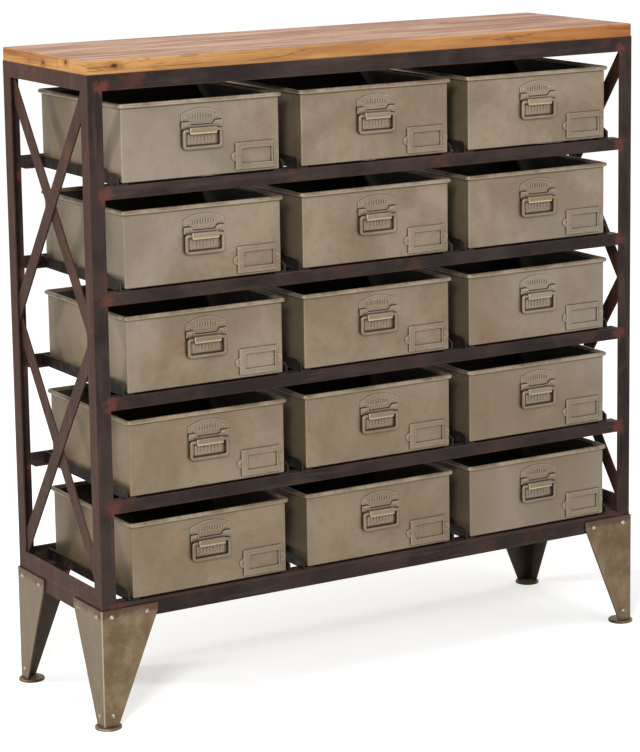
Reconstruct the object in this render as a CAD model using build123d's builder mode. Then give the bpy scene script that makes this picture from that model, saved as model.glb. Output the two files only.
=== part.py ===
from build123d import *
from math import cos, atan2
import os

# Seed storage cabinet: an angle-iron frame on four folded sheet legs, a plank top and
# fifteen open sheet-steel drawers that slide on small angle runners.
# Millimetres. +Z up, the front faces -Y, the origin is on the floor under the centre.

# ---- overall ----
cabinet_width = 1015.0
cabinet_depth = 300.0
cabinet_height = 1040.0
tier_names = ("1", "2", "3", "4", "5")
column_names = ("left", "middle", "right")

# ---- plank top ----
top_thickness = 21.0
plank_count = 3
top_corner_radius = 4.0
top_edge_radius = 2.5

# ---- angle iron of the posts, the top rails and the bottom rails ----
post_leg = 25.0
iron_gauge = 3.0
root_radius = 3.0

# ---- lighter angle iron of the rails that carry the drawers ----
rail_leg = 20.0
rail_gauge = 3.0

# ---- base frame and tiers ----
base_top = 196.0
base_leg = 25.0
base_gauge = 3.0
tier_top_slack = 8.0

# ---- drawer runners ----
runner_leg = 18.0
runner_gauge = 2.5
runner_setback = 1.5
runner_side_gap = 5.0
runner_nose_drop = 5.0
runner_nose_length = 10.0

# ---- side braces ----
brace_width = 25.0
brace_gauge = 3.0

# ---- drawer trays ----
drawer_setback = 2.0
drawer_back_gap = 18.0
drawer_post_gap = 30.0
drawer_headroom = 38.9
column_gap = 40.0
sheet = 1.2
rim_radius = 3.5
rim_sides = 12

# ---- drawer pull ----
pull_width = 70.0
plate_gauge = 1.2
plate_peak_drop = 15.0
plate_shoulder_drop = 24.0
clip_gauge = 1.2
clip_ear_drop = 35.0
clip_ear_height = 9.0
clip_ear_width = 12.0
clip_dip = 6.0
clip_dip_slope = 4.0
bail_rod = 6.0
bail_play = 0.5
bail_side_play = 1.0
bail_pivot_drop = 49.0
bail_fall = 26.5
bail_low_corner = 6.0
bail_top_corner = 2.0
rod_sides = 8

# ---- label frame ----
label_width = 70.0
label_height = 42.0
label_gauge = 1.5
label_side_inset = 9.0
label_foot = 5.0
label_ear_radius = 7.0
label_ear_sides = 12
window_width = 52.0
window_height = 23.5
window_shift = 3.0

# ---- legs and feet ----
leg_gauge = 3.0
leg_top_gap = 4.5
leg_top_width = 98.0
leg_foot_width = 25.0
leg_band = 12.0
leg_fold_radius = 2.5
foot_radius = 21.0
foot_thickness = 4.0
foot_inset = 10.0
foot_edge = 1.0

# ---- leg rivets ----
rivet_radius = 4.0
rivet_height = 2.4
rivet_sides = 12
rivet_taper = 40.0
rivet_inset = 18.0
rivet_top_drop = 12.0
rivet_foot_rise = 17.0

# ---- worked out ----
half_width = cabinet_width / 2
half_depth = cabinet_depth / 2
top_underside = cabinet_height - top_thickness
bottom_tier = base_top + iron_gauge
tier_pitch = (top_underside - tier_top_slack - bottom_tier) / len(tier_names)
tier_heights = [bottom_tier + tier_pitch * step for step in reversed(range(len(tier_names)))]

column_gaps = column_gap * (len(column_names) - 1)
drawer_row = cabinet_width - 2 * (post_leg + drawer_post_gap)
drawer_width = (drawer_row - column_gaps) / len(column_names)
drawer_depth = cabinet_depth - drawer_setback - rail_gauge - drawer_back_gap
drawer_height = tier_pitch - runner_gauge - drawer_headroom
column_pitch = drawer_width + column_gap
column_places = [column_pitch * (step - (len(column_names) - 1) / 2) for step in range(len(column_names))]
tray_middle = -half_depth + drawer_setback + drawer_depth / 2

RIGHT, BACK, UP = Vector(1, 0, 0), Vector(0, 1, 0), Vector(0, 0, 1)
LEFT, FRONT, DOWN = RIGHT * -1, BACK * -1, UP * -1

parts_folder = "parts"
os.makedirs(parts_folder, exist_ok=True)


def write_group(name, pieces):
    """Write several separate pieces of one kind as one node."""
    group = Compound(label=name, children=pieces)
    export_step(group, f"{parts_folder}/{name}.step")


def angle_bar(name, middle, first_leg, second_leg, length, leg, gauge):
    """A bar of angle iron: `middle` is its outer corner halfway along."""
    inner = gauge + root_radius
    with BuildPart() as bar:
        with BuildSketch(Plane(origin=middle, x_dir=first_leg, z_dir=first_leg.cross(second_leg))):
            with BuildLine():
                Polyline((gauge, inner), (gauge, leg), (0, leg), (0, 0), (leg, 0), (leg, gauge), (inner, gauge))
                RadiusArc((inner, gauge), (gauge, inner), root_radius)
            make_face()
        extrude(amount=length / 2, both=True)
    bar.part.label = name
    return bar.part


def mitre_ends(facing, reach, half_length):
    """Cut the bar on one side of a rectangle at 45 degrees at both of its corners."""
    along = UP.cross(facing)
    for end in (-1, 1):
        corner = facing * reach + along * (end * half_length)
        split(bisect_by=Plane(origin=corner, z_dir=facing - along * end), keep=Keep.TOP)


# ---- plank top: three planks glued edge to edge ----
with BuildPart() as board:
    with BuildSketch(Plane.XY.offset(top_underside)):
        RectangleRounded(cabinet_width, cabinet_depth, top_corner_radius)
    extrude(amount=top_thickness)
    fillet(board.faces().sort_by(Axis.Z)[-1].edges(), top_edge_radius)

plank_depth = cabinet_depth / plank_count
planks = []
for number in range(plank_count):
    plank_middle = -half_depth + plank_depth * (number + 0.5)
    with BuildPart() as plank:
        add(board.part)
        with Locations((0, plank_middle, top_underside)):
            plank_align = (Align.CENTER, Align.CENTER, Align.MIN)
            Box(cabinet_width, plank_depth, top_thickness, align=plank_align, mode=Mode.INTERSECT)
    plank.part.label = f"plank_{number + 1}"
    planks.append(plank.part)
write_group("wood_top", planks)

# ---- corner posts: angle iron with the corner outward ----
post_length = top_underside - base_top
post_middle = base_top + post_length / 2
for end_name, end_y, inward_y in (("front", -half_depth, BACK), ("back", half_depth, FRONT)):
    for side_name, side_x, inward_x in (("left", -half_width, RIGHT), ("right", half_width, LEFT)):
        post_name = f"post_{end_name}_{side_name}"
        post_corner = (side_x, end_y, post_middle)
        post = angle_bar(post_name, post_corner, inward_x, inward_y, post_length, post_leg, iron_gauge)
        export_step(post, f"{parts_folder}/{post_name}.step")

# ---- top rails: between the posts, one flange under the planks ----
wide_span = cabinet_width - 2 * post_leg
deep_span = cabinet_depth - 2 * post_leg
write_group("top_rails", [
    angle_bar("front", (0, -half_depth, top_underside), DOWN, BACK, wide_span, post_leg, iron_gauge),
    angle_bar("back", (0, half_depth, top_underside), DOWN, FRONT, wide_span, post_leg, iron_gauge),
    angle_bar("left", (-half_width, 0, top_underside), DOWN, RIGHT, deep_span, post_leg, iron_gauge),
    angle_bar("right", (half_width, 0, top_underside), DOWN, LEFT, deep_span, post_leg, iron_gauge),
])

# ---- tier rails: the front ones hang down, the back ones stand up and stop the drawers ----
write_group("front_rails", [
    angle_bar("front", (0, -half_depth, height), DOWN, BACK, wide_span, rail_leg, rail_gauge)
    for height in tier_heights[:-1]
])
write_group("back_rails", [
    angle_bar("back", (0, half_depth, height - rail_gauge), UP, FRONT, wide_span, rail_leg, rail_gauge)
    for height in tier_heights[:-1]
])

# ---- bottom rails: standing angles at the sides and back, a flat bar across the front ----
with BuildPart() as sill:
    with BuildSketch(Plane.XY.offset(base_top)):
        with Locations((0, -half_depth + post_leg / 2)):
            Rectangle(wide_span, post_leg)
    extrude(amount=iron_gauge)
sill.part.label = "front"
write_group("bottom_rails", [
    sill.part,
    angle_bar("back", (0, half_depth, base_top), UP, FRONT, wide_span, post_leg, iron_gauge),
    angle_bar("left", (-half_width, 0, base_top), UP, RIGHT, deep_span, post_leg, iron_gauge),
    angle_bar("right", (half_width, 0, base_top), UP, LEFT, deep_span, post_leg, iron_gauge),
])

# ---- base frame: four mitred angles that the legs are riveted to ----
base_bars = []
for bar_name, facing, reach, half_length in (
    ("front", FRONT, half_depth, half_width),
    ("back", BACK, half_depth, half_width),
    ("left", LEFT, half_width, half_depth),
    ("right", RIGHT, half_width, half_depth),
):
    outer_corner = facing * reach + UP * base_top
    with BuildPart() as base_bar:
        add(angle_bar(bar_name, outer_corner, DOWN, facing * -1, 2 * half_length, base_leg, base_gauge))
        mitre_ends(facing, reach, half_length)
    base_bar.part.label = bar_name
    base_bars.append(base_bar.part)
write_group("base_frame", base_bars)

# ---- drawer runners: a pair of small angles under every drawer ----
runner_back = half_depth - rail_gauge - root_radius
runner_length = runner_back + half_depth - runner_setback
runner_reach = drawer_width / 2 + runner_side_gap + runner_gauge
with BuildPart() as runner_pair:
    with BuildSketch(Plane(origin=(-runner_reach, runner_back, 0), x_dir=RIGHT, z_dir=FRONT)):
        Rectangle(runner_leg, runner_gauge, align=(Align.MIN, Align.MIN))
        Rectangle(runner_gauge, runner_leg, align=(Align.MIN, Align.MIN))
    extrude(amount=runner_length)
    nose = runner_pair.edges().filter_by(Axis.X).group_by(Axis.Y)[0].sort_by(Axis.Z)[-1]
    nose_front = runner_pair.faces().sort_by(Axis.Y)[0]
    chamfer(nose, runner_nose_drop, runner_nose_length, reference=nose_front)
    mirror(about=Plane.YZ)

with BuildPart() as drawer_runners:
    with Locations([(place, 0, height) for height in tier_heights for place in column_places]):
        add(runner_pair.part)
drawer_runners.part.label = "drawer_runners"
export_step(drawer_runners.part, f"{parts_folder}/drawer_runners.step")

# ---- side braces: two crosses of flat bar on each side, one bar inside the other ----
brace_top_end = top_underside - post_leg
brace_low_end = base_top + post_leg
brace_half_run = half_depth - post_leg / 2
cross_rise = (brace_top_end - brace_low_end) / 2
brace_slope = cross_rise / (2 * brace_half_run)
brace_half_cut = brace_width / 2 / cos(atan2(cross_rise, 2 * brace_half_run))
brace_floor = bottom_tier + root_radius
brace_ceiling = top_underside - iron_gauge - root_radius
brace_layers = (
    ("outer", 1, iron_gauge, half_depth - iron_gauge - root_radius),
    ("inner", -1, iron_gauge + brace_gauge, half_depth - iron_gauge),
)
side_braces = []
for cross_middle in (brace_low_end + cross_rise / 2, brace_top_end - cross_rise / 2):
    for layer_name, lean, layer_depth, brace_reach in brace_layers:
        rise = -lean * brace_slope * brace_reach
        with BuildPart() as brace:
            with BuildSketch(Plane.YZ.offset(-half_width + layer_depth)):
                with BuildLine():
                    Polyline(
                        (-brace_reach, cross_middle - rise - brace_half_cut),
                        (-brace_reach, cross_middle - rise + brace_half_cut),
                        (brace_reach, cross_middle + rise + brace_half_cut),
                        (brace_reach, cross_middle + rise - brace_half_cut),
                        close=True,
                    )
                make_face()
                with Locations((0, (brace_floor + brace_ceiling) / 2)):
                    Rectangle(cabinet_depth, brace_ceiling - brace_floor, mode=Mode.INTERSECT)
            extrude(amount=brace_gauge)
        with BuildPart() as far_brace:
            mirror(brace.part, about=Plane.YZ)
        brace.part.label = f"left_{layer_name}"
        far_brace.part.label = f"right_{layer_name}"
        side_braces += [brace.part, far_brace.part]
write_group("side_braces", side_braces)

# ---- legs: folded sheet, both faces tapering from the riveted top to the foot ----
leg_top = base_top - leg_top_gap
leg_x, leg_y = -half_width - leg_gauge, -half_depth - leg_gauge
leg_face_outline = (
    (0, foot_thickness),
    (leg_foot_width, foot_thickness),
    (leg_top_width, leg_top - leg_band),
    (leg_top_width, leg_top),
    (0, leg_top),
)
with BuildPart() as legs:
    with BuildSketch(Plane(origin=(leg_x, -half_depth, 0), x_dir=RIGHT, z_dir=FRONT)):
        with BuildLine():
            Polyline(*leg_face_outline, close=True)
        make_face()
    extrude(amount=leg_gauge)
    with BuildSketch(Plane(origin=(leg_x, leg_y, 0), x_dir=BACK, z_dir=RIGHT)):
        with BuildLine():
            Polyline(*leg_face_outline, close=True)
        make_face()
    extrude(amount=leg_gauge)
    fold = legs.edges().filter_by(Axis.Z).group_by(SortBy.LENGTH)[-1].sort_by(Axis.X)[0]
    fillet(fold, leg_fold_radius)
    mirror(about=Plane.YZ)
    mirror(about=Plane.XZ)
legs.part.label = "legs"
export_step(legs.part, f"{parts_folder}/legs.step")

with BuildPart() as foot_discs:
    with BuildSketch():
        with GridLocations(cabinet_width - 2 * foot_inset, cabinet_depth - 2 * foot_inset, 2, 2):
            Circle(foot_radius)
    extrude(amount=foot_thickness)
    disc_tops = foot_discs.faces().filter_by(Axis.Z).group_by(Axis.Z)[-1]
    chamfer(disc_tops.edges(), foot_edge)
foot_discs.part.label = "foot_discs"
export_step(foot_discs.part, f"{parts_folder}/foot_discs.step")

# ---- rivets: two at the top and one at the foot of every leg face ----
with BuildPart() as rivet:
    with BuildSketch():
        RegularPolygon(rivet_radius, rivet_sides)
    extrude(amount=rivet_height, taper=rivet_taper)

rivet_row = leg_top - rivet_top_drop
rivet_foot = foot_thickness + rivet_foot_rise
foot_taper = (leg_top_width - leg_foot_width) / (leg_top - leg_band - foot_thickness)
foot_face_width = leg_foot_width + foot_taper * rivet_foot_rise
rivet_spots = (
    (rivet_inset, rivet_row),
    (leg_top_width - rivet_inset, rivet_row),
    (foot_face_width / 2, rivet_foot),
)
with BuildPart() as leg_rivets:
    for across, height in rivet_spots:
        with Locations(Plane(origin=(leg_x + across, leg_y, height), z_dir=FRONT)):
            add(rivet.part)
        with Locations(Plane(origin=(leg_x, leg_y + across, height), z_dir=LEFT)):
            add(rivet.part)
    mirror(about=Plane.YZ)
    mirror(about=Plane.XZ)
leg_rivets.part.label = "leg_rivets"
export_step(leg_rivets.part, f"{parts_folder}/leg_rivets.step")

# ---- tray: a base sheet and four mitred walls whose top edge is rolled into a round rim ----
# (a drawer is drawn with its origin under the middle of the tray)
tray_sheets = []
with BuildPart() as tray_base:
    with BuildSketch():
        Rectangle(drawer_width - 2 * sheet, drawer_depth - 2 * sheet)
    extrude(amount=sheet)
tray_base.part.label = "base"
tray_sheets.append(tray_base.part)

rim_overhang = 2 * rim_radius - sheet
for wall_name, facing, reach, half_length in (
    ("front", FRONT, drawer_depth / 2, drawer_width / 2),
    ("back", BACK, drawer_depth / 2, drawer_width / 2),
    ("left", LEFT, drawer_width / 2, drawer_depth / 2),
    ("right", RIGHT, drawer_width / 2, drawer_depth / 2),
):
    wall_plane = Plane(origin=facing * reach, x_dir=facing, z_dir=facing.cross(UP))
    with BuildPart() as wall:
        with BuildSketch(wall_plane):
            Rectangle(sheet, drawer_height - rim_radius, align=(Align.MAX, Align.MIN))
            with Locations((rim_radius - sheet, drawer_height - rim_radius)):
                RegularPolygon(rim_radius, rim_sides, major_radius=False, rotation=180 / rim_sides)
        extrude(amount=half_length + rim_overhang, both=True)
        mitre_ends(facing, reach, half_length)
    wall.part.label = wall_name
    tray_sheets.append(wall.part)

# ---- pull plate: an arched backing on the tray's front ----
pull_half = pull_width / 2
plate_peak = drawer_height - plate_peak_drop
plate_shoulder = drawer_height - plate_shoulder_drop
clip_ear_top = drawer_height - clip_ear_drop
clip_ear_foot = clip_ear_top - clip_ear_height
bail_pivot = drawer_height - bail_pivot_drop
sleeve_half = pull_half - bail_rod - bail_side_play
sleeve_inner = bail_rod / 2 + bail_play
sleeve_outer = sleeve_inner + clip_gauge
pivot_y = -drawer_depth / 2 - plate_gauge - sleeve_inner
tray_face = Plane(origin=(0, -drawer_depth / 2, 0), x_dir=RIGHT, z_dir=FRONT)

with BuildPart() as pull_plate:
    with BuildSketch(tray_face):
        with BuildLine():
            ThreePointArc((pull_half, plate_shoulder), (0, plate_peak), (-pull_half, plate_shoulder))
            Polyline(
                (-pull_half, plate_shoulder),
                (-pull_half, clip_ear_foot),
                (-sleeve_half, clip_ear_foot),
                (-sleeve_half, bail_pivot - sleeve_outer),
                (sleeve_half, bail_pivot - sleeve_outer),
                (sleeve_half, clip_ear_foot),
                (pull_half, clip_ear_foot),
                (pull_half, plate_shoulder),
            )
        make_face()
    extrude(amount=plate_gauge)
pull_plate.part.label = "pull_plate"

# ---- hinge clip: two raised ears, a dipped middle and the sleeve that holds the bail ----
clip_dip_line = clip_ear_top - clip_dip
with BuildPart() as hinge_clip:
    with BuildSketch(tray_face.offset(plate_gauge)):
        with BuildLine():
            Polyline(
                (-pull_half, clip_ear_foot),
                (-pull_half, clip_ear_top),
                (-pull_half + clip_ear_width, clip_ear_top),
                (-pull_half + clip_ear_width + clip_dip_slope, clip_dip_line),
                (pull_half - clip_ear_width - clip_dip_slope, clip_dip_line),
                (pull_half - clip_ear_width, clip_ear_top),
                (pull_half, clip_ear_top),
                (pull_half, clip_ear_foot),
                (sleeve_half, clip_ear_foot),
                (sleeve_half, bail_pivot + sleeve_inner),
                (-sleeve_half, bail_pivot + sleeve_inner),
                (-sleeve_half, clip_ear_foot),
                close=True,
            )
        make_face()
    extrude(amount=clip_gauge)
    with BuildSketch(Plane.YZ):
        with Locations((pivot_y + sleeve_inner, bail_pivot)):
            Rectangle(sleeve_inner + sleeve_outer, 2 * sleeve_outer, align=(Align.MAX, Align.CENTER))
            chamfer(vertices().group_by(Axis.X)[0], clip_gauge)
            Rectangle(2 * sleeve_inner, 2 * sleeve_inner, align=(Align.MAX, Align.CENTER), mode=Mode.SUBTRACT)
    extrude(amount=sleeve_half, both=True)
hinge_clip.part.label = "hinge_clip"

# ---- label frame: a raised frame with a window and a round ear at each side ----
label_x = drawer_width / 2 - label_side_inset - label_width / 2
label_z = label_foot + label_height / 2
with BuildPart() as label_frame:
    with BuildSketch(tray_face):
        with Locations((label_x, label_z)):
            Rectangle(label_width, label_height)
            with GridLocations(label_width, 0, 2, 1):
                RegularPolygon(label_ear_radius, label_ear_sides)
        with Locations((label_x + window_shift, label_z)):
            Rectangle(window_width, window_height, mode=Mode.SUBTRACT)
    extrude(amount=label_gauge)
label_frame.part.label = "label_frame"

# ---- bail: a rectangular ring of rod that hangs from the sleeve and swings out ----
bail_half = pull_half - bail_rod / 2
with BuildPart() as bail:
    with BuildLine(Plane(origin=(0, pivot_y, bail_pivot), x_dir=RIGHT, z_dir=FRONT)):
        Polyline(
            (0, 0),
            (bail_half - bail_top_corner, 0),
            (bail_half, -bail_top_corner),
            (bail_half, bail_low_corner - bail_fall),
            (bail_half - bail_low_corner, -bail_fall),
            (bail_low_corner - bail_half, -bail_fall),
            (-bail_half, bail_low_corner - bail_fall),
            (-bail_half, -bail_top_corner),
            (bail_top_corner - bail_half, 0),
            close=True,
        )
    with BuildSketch(Plane(origin=(0, pivot_y, bail_pivot), x_dir=BACK, z_dir=RIGHT)):
        RegularPolygon(bail_rod / 2, rod_sides, major_radius=False, rotation=180 / rod_sides)
    sweep(transition=Transition.RIGHT)

# ---- the fifteen drawers ----
for tier_name, height in zip(tier_names, tier_heights):
    for column_name, place in zip(column_names, column_places):
        drawer_name = f"{tier_name}_{column_name}"
        seat = Location((place, tray_middle, height + runner_gauge))
        write_group(f"tray_{drawer_name}", [piece.moved(seat) for piece in tray_sheets])
        fittings = (pull_plate.part, hinge_clip.part, label_frame.part)
        write_group(f"fittings_{drawer_name}", [piece.moved(seat) for piece in fittings])
        with BuildPart() as hung_bail:
            with Locations(seat):
                add(bail.part)
        hung_bail.part.label = f"bail_{drawer_name}"
        export_step(hung_bail.part, f"{parts_folder}/bail_{drawer_name}.step")
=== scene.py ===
"""Seed storage cabinet: the looks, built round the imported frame. Metres, +Z up, the front faces -Y."""

import math

import bpy
from mathutils import Matrix, Vector


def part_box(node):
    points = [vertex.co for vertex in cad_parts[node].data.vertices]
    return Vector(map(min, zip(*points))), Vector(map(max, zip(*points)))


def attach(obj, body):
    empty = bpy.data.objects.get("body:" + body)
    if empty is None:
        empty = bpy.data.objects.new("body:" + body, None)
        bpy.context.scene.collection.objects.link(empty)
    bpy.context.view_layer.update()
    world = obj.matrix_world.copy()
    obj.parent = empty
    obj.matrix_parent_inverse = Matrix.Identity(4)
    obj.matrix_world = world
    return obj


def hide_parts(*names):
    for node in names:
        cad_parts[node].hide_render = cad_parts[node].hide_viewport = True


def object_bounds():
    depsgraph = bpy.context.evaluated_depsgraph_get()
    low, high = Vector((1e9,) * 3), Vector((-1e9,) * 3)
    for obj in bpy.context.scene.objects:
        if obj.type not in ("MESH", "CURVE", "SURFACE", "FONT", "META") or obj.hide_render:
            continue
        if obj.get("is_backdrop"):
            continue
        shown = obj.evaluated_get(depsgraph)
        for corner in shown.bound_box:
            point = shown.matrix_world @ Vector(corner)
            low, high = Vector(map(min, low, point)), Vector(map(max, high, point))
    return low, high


MM = 0.001
TIERS = ("1", "2", "3", "4", "5")
COLUMNS = ("left", "middle", "right")

# ---- modelling: how near points count as one, and the angles that are flat or look smooth ----
DOUBLE, MERGE = 0.02 * MM, 0.01 * MM
FLAT_ANGLE, SOFT_ANGLE = math.radians(0.2), math.radians(30)
TRAY_SMOOTH, DOME_SMOOTH = math.radians(35), math.radians(50)
FORWARD = (math.pi / 2, 0, 0)

# ---- drawer, in millimetres from the middle of its underside ----
DRAWER_WIDTH, DRAWER_DEPTH, DRAWER_HEIGHT = 275.0, 277.0, 121.0
DRAWER_FRONT = -DRAWER_DEPTH / 2
SHEET = 1.2
CORNER_BEND = 2.5
RIM_RADIUS, RIM_CORNER = 3.5, 5.0
FACES_UP = 0.7

# ---- how far a cutting block reaches past what it cuts, and how deep relief is sunk in its sheet ----
CUT_PAST, CUT_ROOM = 1.0, 5.0
SUNK = 0.5

# ---- pull: its plate ----
PULL_HALF = 35.0
PLATE_GAUGE, PLATE_BEND = 1.2, 0.5
PLATE_FACE = DRAWER_FRONT - PLATE_GAUGE
PLATE_PEAK, PLATE_SHOULDER = 106.0, 97.0
ARC_DEPTH, ARC_SIDES = 12.0, 160
SKIRT_FOOT = 50.0
RIBS, RIB_STEP, RIB_HALF, RIB_PROUD, RIB_BEND = 4, 4.6, 1.0, 1.2, 0.5
RIB_FOOT, RIB_HEIGHT, RIB_FALL = 89.5, 9.5, 0.16
LOW_RIBS, LOW_RIB_STEP, LOW_RIB_HALF, LOW_RIB_PROUD = 3, 6.0, 1.2, 1.0
LOW_RIB_FOOT, LOW_RIB_TOP = 54.0, 64.0
DOT_X, DOT_Z, DOT_RADIUS, DOT_RISE = 27.5, 91.5, 2.6, 0.9

# ---- pull: the clip that holds the bail ----
CLIP_GAUGE, CLIP_BEND = 1.2, 0.4
CLIP_FOOT, CLIP_LEAN, CLIP_SUNK = 74.0, math.radians(10), 0.46
EAR_TOP, EAR_FOOT, EAR_WIDTH = 86.0, 77.0, 12.0
DIP, DIP_SLOPE, DIP_BEND = 6.0, 6.0, 2.2
ALONG = 0.9
SLEEVE_HALF, SLEEVE_OUTER, SLEEVE_INNER, SLEEVE_BEND = 28.0, 4.7, 3.5, 2.2
NOTCH = 4.0
SLEEVE_END = SLEEVE_HALF - NOTCH
# the dark strip that paints the shadow behind the clip: how far it shows above the ears, its gauge, and how
# far it reaches below the clip's foot
GAP_SHADOW_SHOWN, GAP_SHADOW_GAUGE, GAP_SHADOW_DROP = 1.6, 0.4, 1.0
LIP_RADIUS, LIP_INSET, LIP_DEPTH, LIP_BEND = 1.1, 1.0, 1.3, 0.6
STUD_X, STUD_Z, STUD_RADIUS, STUD_RISE = 27.5, 81.5, 2.0, 1.0

# ---- pull: the bail ----
PIVOT_HEIGHT, PIVOT_Y = 72.0, PLATE_FACE - SLEEVE_INNER
ROD_RADIUS, ROD_ROOM = 2.8, 3.0
BAIL_FALL, BAIL_CORNER, BAIL_TOP_CORNER = 26.5, 4.6, 3.0

# ---- label frame ----
LABEL_X, LABEL_Z = 93.5, 26.0
LABEL_WIDTH, LABEL_HEIGHT, LABEL_GAUGE, LABEL_BEND = 70.0, 42.0, 1.5, 0.6
LABEL_FACE = DRAWER_FRONT - LABEL_GAUGE
WINDOW_WIDTH, WINDOW_HEIGHT, WINDOW_SHIFT = 52.0, 23.5, 3.0
LABEL_EAR, LABEL_EAR_SIDES = 7.0, 40
STRIP_IN, STRIP_HALF, STRIP_PROUD, STRIP_SHORT, STRIP_BEND = 3.5, 2.2, 0.9, 1.0, 0.8
BEAD_RADIUS, BEAD_CORNER, BEAD_OUT, BEAD_IN = 1.2, 1.5, 1.3, 1.2
RIVET_OUT, RIVET_RADIUS, RIVET_RISE = 2.6, 2.4, 1.2
LABEL_DOT_X, LABEL_DOT_UP, LABEL_DOT_RADIUS, LABEL_DOT_RISE = 4.0, 3.2, 1.3, 0.8

# ---- stage and light ----
FLOOR_SIZE = 30
FLOOR_SEEN, FLOOR_BOUNCE, FLOOR_ROUGHNESS = 0.9, 0.14, 0.9
LIFT_NEAR, LIFT_FAR, NEAR, FAR = 0.5, 0.69, 0.7, 2.4
SKY_TINT, SKY_STRENGTH = (1.0, 0.985, 0.96, 1), 0.36
PURE_WHITE, BACKDROP_STRENGTH = (1, 1, 1, 1), 1.0
WHITE_LIGHT, WARM_LIGHT = (1.0, 1.0, 1.0), (1.0, 0.93, 0.8)
LAMP_AIM = (0, 0, 0.55)

# ---- camera, from points measured in the photograph ----
IMAGE_WIDTH, IMAGE_HEIGHT = 640, 752
FOCAL_PIXELS = 2697.0
CAMERA_PLACE = (-2.2658, -3.7557, 1.4284)
CAMERA_YAW, CAMERA_PITCH, CAMERA_ROLL = 30.9, 9.9, -0.83
CAMERA_SHIFT = -0.15
SENSOR = 36.0

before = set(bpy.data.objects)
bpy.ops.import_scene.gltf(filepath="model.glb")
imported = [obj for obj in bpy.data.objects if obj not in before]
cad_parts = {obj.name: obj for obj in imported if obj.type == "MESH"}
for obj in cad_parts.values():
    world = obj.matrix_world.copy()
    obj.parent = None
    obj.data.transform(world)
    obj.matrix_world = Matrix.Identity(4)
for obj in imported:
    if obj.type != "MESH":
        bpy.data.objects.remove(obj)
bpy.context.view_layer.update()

# ---- sizes read from the frame ----
tray_boxes = {f"{t}_{c}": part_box(f"tray_{t}_{c}") for t in TIERS for c in COLUMNS}
SEAT_GAP = 2.5 * MM
BOTTOM_TIER = tray_boxes["5_left"][0].z - SEAT_GAP
TIER_PITCH = tray_boxes["4_left"][0].z - tray_boxes["5_left"][0].z
POST_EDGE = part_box("post_front_right")[0].x
LEG_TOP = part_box("legs")[1].z
WOOD_LOW, WOOD_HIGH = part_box("wood_top")
PLANKS = 3
PLANK_WIDTH = (WOOD_HIGH.y - WOOD_LOW.y) / PLANKS


# ---------------------------------------------------------------- small tools


def deselect():
    if bpy.context.object and bpy.context.object.mode != "OBJECT":
        bpy.ops.object.mode_set(mode="OBJECT")
    bpy.ops.object.select_all(action="DESELECT")


def activate(piece):
    deselect()
    piece.select_set(True)
    bpy.context.view_layer.objects.active = piece


def apply_place(piece):
    activate(piece)
    bpy.ops.object.transform_apply(location=True, rotation=True, scale=True)


def modify(piece, kind, **settings):
    """Add one modifier and apply it."""
    activate(piece)
    modifier = piece.modifiers.new(kind.title(), kind)
    for key, value in settings.items():
        setattr(modifier, key, value)
    bpy.ops.object.modifier_apply(modifier=modifier.name)


def box(low, high):
    """A box between two corners, in millimetres."""
    low, high = Vector(low) * MM, Vector(high) * MM
    deselect()
    bpy.ops.mesh.primitive_cube_add(size=1, location=(low + high) / 2)
    piece = bpy.context.object
    piece.scale = high - low
    apply_place(piece)
    return piece


def disc(centre, radius, depth, sides):
    """A round plate standing on a drawer front: `centre` is on its back, it faces -Y."""
    deselect()
    place = Vector(centre) * MM - Vector((0, depth * MM / 2, 0))
    bpy.ops.mesh.primitive_cylinder_add(
        vertices=sides, radius=radius * MM, depth=depth * MM, location=place, rotation=FORWARD
    )
    piece = bpy.context.object
    apply_place(piece)
    return piece


def dome(centre, radius, height):
    """A flat-backed dome that faces -Y: half of a squashed ball."""
    deselect()
    bpy.ops.mesh.primitive_uv_sphere_add(segments=20, ring_count=12, radius=1)
    piece = bpy.context.object
    bpy.ops.object.mode_set(mode="EDIT")
    bpy.ops.mesh.select_all(action="SELECT")
    bpy.ops.mesh.bisect(plane_co=(0, 0, 0), plane_no=(0, 0, 1), use_fill=True, clear_inner=True)
    bpy.ops.object.mode_set(mode="OBJECT")
    piece.scale = (radius * MM, radius * MM, height * MM)
    piece.rotation_euler = FORWARD
    piece.location = Vector(centre) * MM
    apply_place(piece)
    bpy.ops.object.shade_smooth_by_angle(angle=DOME_SMOOTH)
    return piece


def boolean(piece, other, operation):
    modify(piece, "BOOLEAN", object=other, operation=operation, solver="EXACT")
    bpy.data.objects.remove(other, do_unlink=True)
    clean_mesh(piece)


def clean_mesh(piece):
    """Merge doubled points and drop faces without an area."""
    activate(piece)
    bpy.ops.object.mode_set(mode="EDIT")
    bpy.ops.mesh.select_all(action="SELECT")
    bpy.ops.mesh.remove_doubles(threshold=DOUBLE)
    bpy.ops.mesh.dissolve_limited(angle_limit=FLAT_ANGLE)
    bpy.ops.mesh.dissolve_degenerate(threshold=DOUBLE)
    bpy.ops.object.mode_set(mode="OBJECT")


def soften(piece, width, segments=2):
    """Round the edges a little, as pressed and ground metal is."""
    modify(
        piece,
        "BEVEL",
        width=width * MM,
        segments=segments,
        limit_method="ANGLE",
        angle_limit=SOFT_ANGLE,
        use_clamp_overlap=True,
    )
    activate(piece)
    bpy.ops.object.shade_smooth_by_angle(angle=SOFT_ANGLE)


def round_edges(piece, width, chosen):
    """Round only the edges that `chosen` picks by their middle, in millimetres, and their run."""
    activate(piece)
    bpy.context.tool_settings.mesh_select_mode = (False, True, False)
    points = piece.data.vertices
    for element in (*points, *piece.data.polygons):
        element.select = False
    for edge in piece.data.edges:
        first, second = (points[index].co for index in edge.vertices)
        edge.select = chosen((first + second) / 2 / MM, (second - first).normalized())
    bpy.ops.object.mode_set(mode="EDIT")
    bpy.ops.mesh.bevel(offset=width * MM, segments=4, affect="EDGES")
    bpy.ops.object.mode_set(mode="OBJECT")
    bpy.context.tool_settings.mesh_select_mode = (True, False, False)


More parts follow.
